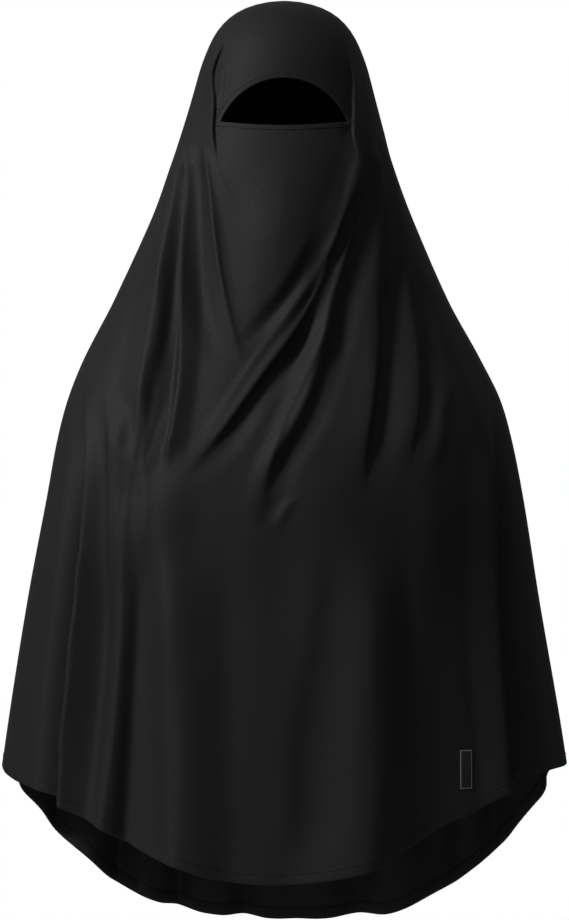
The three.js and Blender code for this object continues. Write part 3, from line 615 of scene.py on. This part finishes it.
def satin_label(colours):
    """Black polyester ribbon, satin woven with a paler border: ribbed across and glossier than the crepe.

    The ribs are 0.25 mm apart, too fine to show, so they are drawn 1.5 mm apart."""
    material, tree = new_material("black label ribbon, satin woven")
    uv = add_node(tree, "ShaderNodeUVMap", uv_map="Cloth")
    place = add_node(tree, "ShaderNodeSeparateXYZ", [("Vector", uv.outputs["UV"])])
    half_wide, half_tall = LABEL_SIZE[0] / 2, LABEL_SIZE[1] / 2
    from_side = to_edge(tree, place.outputs["X"], 0.0, half_wide)
    from_end = to_edge(tree, place.outputs["Y"], half_tall, half_tall)
    nearest = add_node(tree, "ShaderNodeMath", operation="MINIMUM")
    tree.links.new(from_side, nearest.inputs[0])
    tree.links.new(from_end, nearest.inputs[1])
    outer = ranged(tree, nearest.outputs[0], 0, 1, BORDER_START)
    inner = ranged(tree, nearest.outputs[0], 1, 0, BORDER_END)
    border = add_node(tree, "ShaderNodeMath", operation="MULTIPLY")
    tree.links.new(outer, border.inputs[0])
    tree.links.new(inner, border.inputs[1])
    ribs = bands(tree, uv.outputs["UV"], "Y", RIB_PITCH, 0.2)
    bump = add_node(tree, "ShaderNodeBump", [("Height", ribs)], Strength=0.3, Distance=0.15 * MM)
    shade(
        tree,
        Base_Color=blended(tree, border.outputs[0], [*colours.label, 1.0], [*colours.label_border, 1.0]),
        Roughness=ranged(tree, ribs, 0.45, 0.6),
        Specular_IOR_Level=0.35,
        Normal=bump.outputs["Normal"],
    )
    return material


def to_edge(tree, value, middle, half):
    """How far inside an edge a place is, from its offset to the middle."""
    offset = add_node(tree, "ShaderNodeMath", [(0, value)], operation="ADD")
    offset.inputs[1].default_value = middle
    distance = add_node(tree, "ShaderNodeMath", [(0, offset.outputs[0])], operation="ABSOLUTE")
    inside = add_node(tree, "ShaderNodeMath", [(1, distance.outputs[0])], operation="SUBTRACT")
    inside.inputs[0].default_value = half
    return inside.outputs[0]


def dress(obj, material, slot, *nodes):
    """Gives a piece its material and its body, and hides the CAD pieces that it replaces. The slot is not
    used.
    """
    obj.data.materials.clear()
    obj.data.materials.append(material)
    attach(obj, "root")
    if nodes:
        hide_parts(*nodes)


class VeilSizes(bpy.types.PropertyGroup):
    front_length: FloatProperty(
        name="Front length", description="Crown to the front hem, straight down",
        default=0.917, unit="LENGTH")
    back_length: FloatProperty(
        name="Back length", description="Crown to the back hem, straight down",
        default=1.01, unit="LENGTH")
    side_length: FloatProperty(
        name="Side length", description="Crown to the side hems, straight down",
        default=0.812, unit="LENGTH")
    half_spread: FloatProperty(
        name="Half spread", description="Half the width across the side hems",
        default=0.302, unit="LENGTH")
    front_reach: FloatProperty(
        name="Front reach", description="How far the front hem stands forward",
        default=0.19, unit="LENGTH")
    back_reach: FloatProperty(
        name="Back reach", description="How far the back hem stands back",
        default=0.205, unit="LENGTH")
    wall: FloatProperty(
        name="Wall", description="Thickness of the wall that the cloth lies in the middle of",
        default=0.0014, unit="LENGTH")
    sheet: FloatProperty(
        name="Cloth", description="Thickness of the cloth itself",
        default=0.0009, unit="LENGTH")
    hem_height: FloatProperty(
        name="Hem height", description="Height of the turned bottom hems",
        default=0.012, unit="LENGTH")
    eye_width: FloatProperty(
        name="Eye opening width", description="Corner to corner",
        default=0.132, unit="LENGTH")
    eye_rise: FloatProperty(
        name="Eye opening rise", description="From the corners up to the top of the arch",
        default=0.044, unit="LENGTH")
    eye_sag: FloatProperty(
        name="Eye opening sag", description="From the corners down to the middle of the lower edge",
        default=0.006, unit="LENGTH")
    eye_corner_drop: FloatProperty(
        name="Eye corner drop", description="Crown to the corners, straight down",
        default=0.136, unit="LENGTH")


class VeilColours(bpy.types.PropertyGroup):
    cloth: FloatVectorProperty(
        name="Cloth", description="Colour of the crepe",
        default=linear("#131314")[:3], subtype="COLOR")
    label: FloatVectorProperty(
        name="Label", description="Colour of the woven label",
        default=linear("#1b1b1e")[:3], subtype="COLOR")
    label_border: FloatVectorProperty(
        name="Label border", description="Colour of the border woven round the label",
        default=linear("#707075")[:3], subtype="COLOR")
    floor: FloatVectorProperty(
        name="Floor", description="Colour of the studio floor",
        default=linear("#d6d6d4")[:3], subtype="COLOR")


def drape():
    """The hanging cloth at the sizes in the panel."""
    return Drape(bpy.context.scene.veil_sizes)


def seam_edges(cloth, points, azimuths, drops):
    """Adds the turned-in seam allowance beside the first and last columns of a panel."""
    for at, toward in ((0, 1), (-1, -1)):
        a, d = azimuths[:, at], drops[:, at]
        along, out, _ = cloth.directions(cloth.plain, a, d)
        here = cloth.plain(a, d) + out * cloth.sizes.wall / 2
        size = (smooth(d / SEAM_GROWTH) * MM)[:, None]
        turned = [here + size * (along * toward * back - out * inward) for back, inward in SEAM_TURN]
        points[:, at] = turned[0]
        if at == 0:
            points = np.concatenate([np.stack(turned[:0:-1], 1), points], 1)
        else:
            points = np.concatenate([points, np.stack(turned[1:], 1)], 1)
    return points


def hem_band(name, cloth, azimuths):
    """The turned hem along the foot of a panel, and the lines that follow it."""
    slope = np.gradient(cloth.hem_drop(azimuths), azimuths)
    _, _, per_degree = cloth.directions(cloth.plain, azimuths, cloth.hem_drop(azimuths))
    steep = np.sqrt(1 + (slope / per_degree) ** 2)

    def at(inward, outward):
        drops = cloth.hem_drop(azimuths) - inward * MM * steep
        place, out = cloth.frame(azimuths, drops)
        return place + out * outward * MM

    return band_of(name, at, BOTTOM_HEM)


def eye_band(name, cloth, rail, inward_way):
    """A hem along one edge of the eye opening, and the lines that follow it.

    rail holds x and z, and inward_way points into the cloth."""
    guess = np.degrees(np.arcsin(np.clip(rail[:, 0] / HOOD_HALF, -0.9, 0.9)))

    def at(inward, outward):
        spot = rail + inward_way * inward * MM
        azimuth, drop = cloth.place_at(spot[:, 0], spot[:, 1], guess, -spot[:, 1])
        place, out = cloth.frame(azimuth, drop)
        return place + out * outward * MM

    return band_of(name, at, EYE_HEM)


def band_of(name, at, section):
    """Lofts a hem along its edge. at gives the line of points that a corner of the section follows."""
    sections = np.stack([at(c.inward, c.outward) for c in section], 1)
    around = np.array([c.inward for c in section]) * MM
    return loft(name, sections, lengths_along(sections[:, 0]), around), at


def arc_radius(width, rise):
    """Radius of an arc from its width and its rise."""
    return ((width / 2) ** 2 + rise**2) / (2 * rise)


def arch_circle(s):
    """Radius and centre of the arch over the eyes, seen from the front."""
    radius = arc_radius(s.eye_width, s.eye_rise)
    return radius, np.array([0, -s.eye_corner_drop + s.eye_rise - radius])


def sag_circle(s):
    """Radius and centre of the top edge of the face veil, seen from the front."""
    radius = arc_radius(s.eye_width, s.eye_sag)
    return radius, np.array([0, -s.eye_corner_drop - s.eye_sag + radius])


def eye_rail(s, circle, up, past):
    """One edge of the eye opening, run on a little past its corners, and the way into the cloth."""
    radius, centre = circle
    reach = np.arcsin(s.eye_width / 2 / radius) + past / radius
    turn = np.linspace(-reach, reach, EYE_STATIONS)
    way = np.stack([np.sin(turn), up * np.cos(turn)], -1)
    return centre + way * radius, way


def in_eye_opening(s, places):
    """Which places the eye opening and the cut edge round it leave out of the cloth."""
    x, y, z = np.moveaxis(places, -1, 0)
    inside = (y < 0) & (np.abs(x) < s.eye_width / 2 + CORNER_CUT)
    for radius, centre in (arch_circle(s), sag_circle(s)):
        inside &= np.hypot(x - centre[0], z - centre[1]) < radius + EYE_CUT
    return inside


def stitch_shape():
    """One short stitch of thread, domed and narrowed to its ends, about the origin along X."""
    bpy.ops.object.select_all(action="DESELECT")
    bpy.ops.mesh.primitive_cube_add(size=1)
    bead = bpy.context.active_object
    bpy.ops.object.mode_set(mode="EDIT")
    bpy.ops.mesh.select_all(action="SELECT")
    bpy.ops.mesh.subdivide(number_cuts=1, smoothness=1.0)
    bpy.ops.transform.resize(value=STITCH_SIZE)
    bpy.ops.object.mode_set(mode="OBJECT")
    verts = np.array([v.co for v in bead.data.vertices])
    faces = [list(p.vertices) for p in bead.data.polygons]
    bpy.data.objects.remove(bead)
    return verts, faces


def stitch_row(name, at, corner):
    """Copies the stitch at an even pitch along a hem, at a corner of its section."""
    verts, faces = stitch_shape()
    line = at(corner.inward, corner.outward)
    out = line - at(corner.inward, 0)
    lengths = lengths_along(line)
    places = np.arange(STITCH_PITCH / 2, lengths[-1], STITCH_PITCH)

    def read(values, shift=0):
        return np.stack([np.interp(places + shift, lengths, values[:, k]) for k in range(3)], -1)

    up = unit(read(out))
    along = unit(read(line, STITCH_REACH) - read(line, -STITCH_REACH))
    across = np.cross(up, along)
    frames = np.stack([along, across, up], 1)
    moved = np.einsum("vi,nij->nvj", verts, frames) + read(line)[:, None]
    count = len(verts)
    all_faces = [[i + k * count for i in face] for k in range(len(places)) for face in faces]
    mesh = bpy.data.meshes.new(name)
    mesh.from_pydata(moved.reshape(-1, 3).tolist(), [], all_faces)
    obj = bpy.data.objects.new(name, mesh)
    bpy.context.collection.objects.link(obj)
    mesh.shade_smooth()
    return obj


def panel_points(cloth, azimuths, shares):
    """Grid points, azimuths and drops of a panel, whose foot reaches a little into the hem."""
    low = np.where(shares < CROWN_SHARE, shares**2 / CROWN_SHARE, shares)
    foot = cloth.hem_drop(azimuths) - cloth.sizes.hem_height + HEM_OVERLAP
    a, d = np.broadcast_arrays(azimuths[None, :], low[:, None] * foot[None, :])
    points = cloth.point(a, d)
    points[0] = (0, 0, cloth.sizes.wall / 2)
    return points, a, d


class VEIL_OT_front_panel(bpy.types.Operator):
    """Hang the front half of the cape, with the face veil and its folds"""
    bl_idname = "veil.front_panel"
    bl_label = "Front panel"

    def execute(self, context):
        cloth = drape()
        s = cloth.sizes
        points, a, d = panel_points(cloth, places_of(FRONT_COLUMNS), places_of(FRONT_ROWS))
        opening = in_eye_opening(s, (points[:-1, :-1] + points[1:, 1:]) / 2)
        turned = len(SEAM_TURN) - 1
        points = seam_edges(cloth, points, a, d)
        opening = np.pad(opening, ((0, 0), (turned, turned)))
        panel = grid_mesh("front_panel_cloth", points, uv_by_length(points), ~opening)
        finish_mesh(panel)
        apply_modifier(panel, "SOLIDIFY", thickness=s.sheet, offset=0.0)
        dress(panel, cloth_black(context.scene.veil_colours), "veil_cloth", "front_panel")
        return {"FINISHED"}


class VEIL_OT_back_panel(bpy.types.Operator):
    """Hang the back half of the cape, with its flutes"""
    bl_idname = "veil.back_panel"
    bl_label = "Back panel"

    def execute(self, context):
        cloth = drape()
        points, a, d = panel_points(cloth, places_of(BACK_COLUMNS), places_of(BACK_ROWS))
        points = seam_edges(cloth, points, a, d)
        panel = grid_mesh("back_panel_cloth", points, uv_by_length(points))
        finish_mesh(panel)
        apply_modifier(panel, "SOLIDIFY", thickness=cloth.sizes.sheet, offset=0.0)
        dress(panel, cloth_black(context.scene.veil_colours), "veil_cloth", "back_panel")
        return {"FINISHED"}


class VEIL_OT_bottom_hems(bpy.types.Operator):
    """Turn up the hems along the bottom of both panels and stitch them"""
    bl_idname = "veil.bottom_hems"
    bl_label = "Bottom hems"

    def execute(self, context):
        cloth = drape()
        material = cloth_black(context.scene.veil_colours)
        thread = sewing_thread(context.scene.veil_colours)
        for node, start, end, cells in HEM_RUNS:
            azimuths = np.linspace(start, end, cells + 1)
            band, at = hem_band(node + "_band", cloth, azimuths)
            dress(band, material, "veil_cloth", node)
            row = stitch_row(node + "_stitches", at, BOTTOM_STITCHES)
            dress(row, thread, "veil_cloth")
        return {"FINISHED"}


class VEIL_OT_eye_hems(bpy.types.Operator):
    """Bind the arch over the eyes and the top edge of the face veil, and stitch them"""
    bl_idname = "veil.eye_hems"
    bl_label = "Eye opening hems"

    def execute(self, context):
        cloth = drape()
        material = cloth_black(context.scene.veil_colours)
        thread = sewing_thread(context.scene.veil_colours)
        s = cloth.sizes
        edges = [
            ("eye_arch_hem", arch_circle(s), 1, ARCH_PAST),
            ("veil_top_hem", sag_circle(s), -1, SAG_PAST),
        ]
        for node, circle, up, past in edges:
            band, at = eye_band(node + "_band", cloth, *eye_rail(s, circle, up, past))
            dress(band, material, "veil_cloth", node)
            row = stitch_row(node + "_stitches", at, EYE_STITCHES)
            dress(row, thread, "veil_cloth")
        return {"FINISHED"}


class VEIL_OT_side_label(bpy.types.Operator):
    """Sew the small blank woven label on beside the front hem"""
    bl_idname = "veil.side_label"
    bl_label = "Side label"

    def execute(self, context):
        cloth = drape()
        wide, tall = LABEL_SIZE
        u, v = np.meshgrid(np.linspace(-0.5, 0.5, LABEL_GRID[0]), np.linspace(0, 1, LABEL_GRID[1]))
        middle, _ = cloth.frame(np.array([LABEL_AZIMUTH]), np.array([LABEL_DROP]))
        x, z = middle[0, 0] + u * wide, -LABEL_DROP + (0.5 - v) * tall
        azimuth, drop = cloth.place_at(x, z, np.full_like(x, LABEL_AZIMUTH), -z)
        place, out = cloth.frame(azimuth, drop)
        off = LABEL_BELLY * np.sin(np.pi * v) * (1 - (2 * u) ** 2) + LABEL_STAND
        points = place + out * (off * MM)[..., None]
        uv = np.stack([u * wide, -v * tall], -1)
        label = grid_mesh("woven_label", points, uv)
        finish_mesh(label)
        apply_modifier(label, "SOLIDIFY", thickness=LABEL_THICKNESS, offset=0.0)
        dress(label, satin_label(context.scene.veil_colours), "label_ribbon", "side_label")
        return {"FINISHED"}


class VEIL_OT_stage(bpy.types.Operator):
    """Set the pale floor, the soft studio light and the camera"""
    bl_idname = "veil.stage"
    bl_label = "Stage"

    def execute(self, context):
        bpy.ops.object.select_all(action="DESELECT")
        bpy.ops.mesh.primitive_circle_add(
            vertices=128, radius=FLOOR_RADIUS, fill_type="NGON", location=(0, 0, FLOOR_HEIGHT))
        floor = context.active_object
        floor.name = "studio_floor"
        paint = bpy.data.materials.new("pale studio floor, matte paint")
        paint.use_nodes = True
        shader = paint.node_tree.nodes["Principled BSDF"]
        shader.inputs["Base Color"].default_value = [*context.scene.veil_colours.floor, 1.0]
        shader.inputs["Roughness"].default_value = 0.9
        floor.data.materials.append(paint)
        self.world(context)
        self.key_light(context)
        bpy.ops.object.camera_add(location=CAMERA_PLACE, rotation=(np.pi / 2, 0, 0))
        camera = context.active_object
        camera.data.sensor_width = SENSOR_WIDTH
        camera.data.lens = SENSOR_WIDTH * CAMERA_AWAY / FRAME_TALL
        context.scene.camera = camera
        context.scene.view_settings.view_transform = "Standard"
        return {"FINISHED"}

    def key_light(self, context):
        """The one lamp, a square panel turned to the veil."""
        bpy.ops.object.light_add(type="AREA", location=KEY_PLACE)
        light = context.active_object
        light.name = "key_light"
        way = Vector(KEY_AIM) - Vector(KEY_PLACE)
        light.rotation_euler = way.to_track_quat("-Z", "Y").to_euler()
        light.data.size = KEY_SIDE
        light.data.energy = KEY_POWER

    def world(self, context):
        """White to the camera. As light it starts just below the horizon and is full a little above it."""
        world = bpy.data.worlds.new("white studio")
        context.scene.world = world
        world.use_nodes = True
        tree = world.node_tree
        tree.nodes.clear()
        seen = add_node(tree, "ShaderNodeBackground", Color=(1, 1, 1, 1), Strength=1.0)
        way = add_node(tree, "ShaderNodeTexCoord")
        parts = add_node(tree, "ShaderNodeSeparateXYZ", [("Vector", way.outputs["Generated"])])
        sky = add_node(
            tree, "ShaderNodeMapRange", [("Value", parts.outputs["Z"])],
            From_Min=SKY_DARK, From_Max=SKY_FULL, To_Min=0.0, To_Max=SKY_LIGHT)
        lit = add_node(
            tree, "ShaderNodeBackground", [("Strength", sky.outputs["Result"])], Color=(1, 1, 1, 1))
        path = add_node(tree, "ShaderNodeLightPath")
        mix = add_node(tree, "ShaderNodeMixShader", [("Fac", path.outputs["Is Camera Ray"])])
        tree.links.new(lit.outputs[0], mix.inputs[1])
        tree.links.new(seen.outputs[0], mix.inputs[2])
        add_node(tree, "ShaderNodeOutputWorld", [("Surface", mix.outputs[0])])


def declare_sheets():
    """Lists the names of the band and the stitch row of each front hem, and does nothing more with them."""
    front_hems = []
    for hem in ("front_hem", "eye_arch_hem", "veil_top_hem"):
        front_hems += [hem + "_band", hem + "_stitches"]


class VEIL_PT_panel(bpy.types.Panel):
    """The sizes, the colours and a button for each step"""
    bl_label = "Khimar veil"
    bl_idname = "VEIL_PT_panel"
    bl_space_type = "VIEW_3D"
    bl_region_type = "UI"
    bl_category = "Khimar"

    def draw(self, context):
        for group in (context.scene.veil_sizes, context.scene.veil_colours):
            for name in group.bl_rna.properties.keys():
                if name not in ("rna_type", "name"):
                    self.layout.prop(group, name)
        for step in STEPS:
            self.layout.operator(step.bl_idname)


STEPS = [
    VEIL_OT_stage, VEIL_OT_front_panel, VEIL_OT_back_panel, VEIL_OT_bottom_hems, VEIL_OT_eye_hems,
    VEIL_OT_side_label,
]
CLASSES = [VeilSizes, VeilColours, *STEPS, VEIL_PT_panel]


def register():
    for cls in CLASSES:
        bpy.utils.register_class(cls)
    bpy.types.Scene.veil_sizes = PointerProperty(type=VeilSizes)
    bpy.types.Scene.veil_colours = PointerProperty(type=VeilColours)


def unregister():
    del bpy.types.Scene.veil_colours
    del bpy.types.Scene.veil_sizes
    for cls in reversed(CLASSES):
        bpy.utils.unregister_class(cls)


def main():
    register()
    for step in STEPS:
        group, name = step.bl_idname.split(".")
        getattr(getattr(bpy.ops, group), name)()
    declare_sheets()


if __name__ == "__main__":
    main()
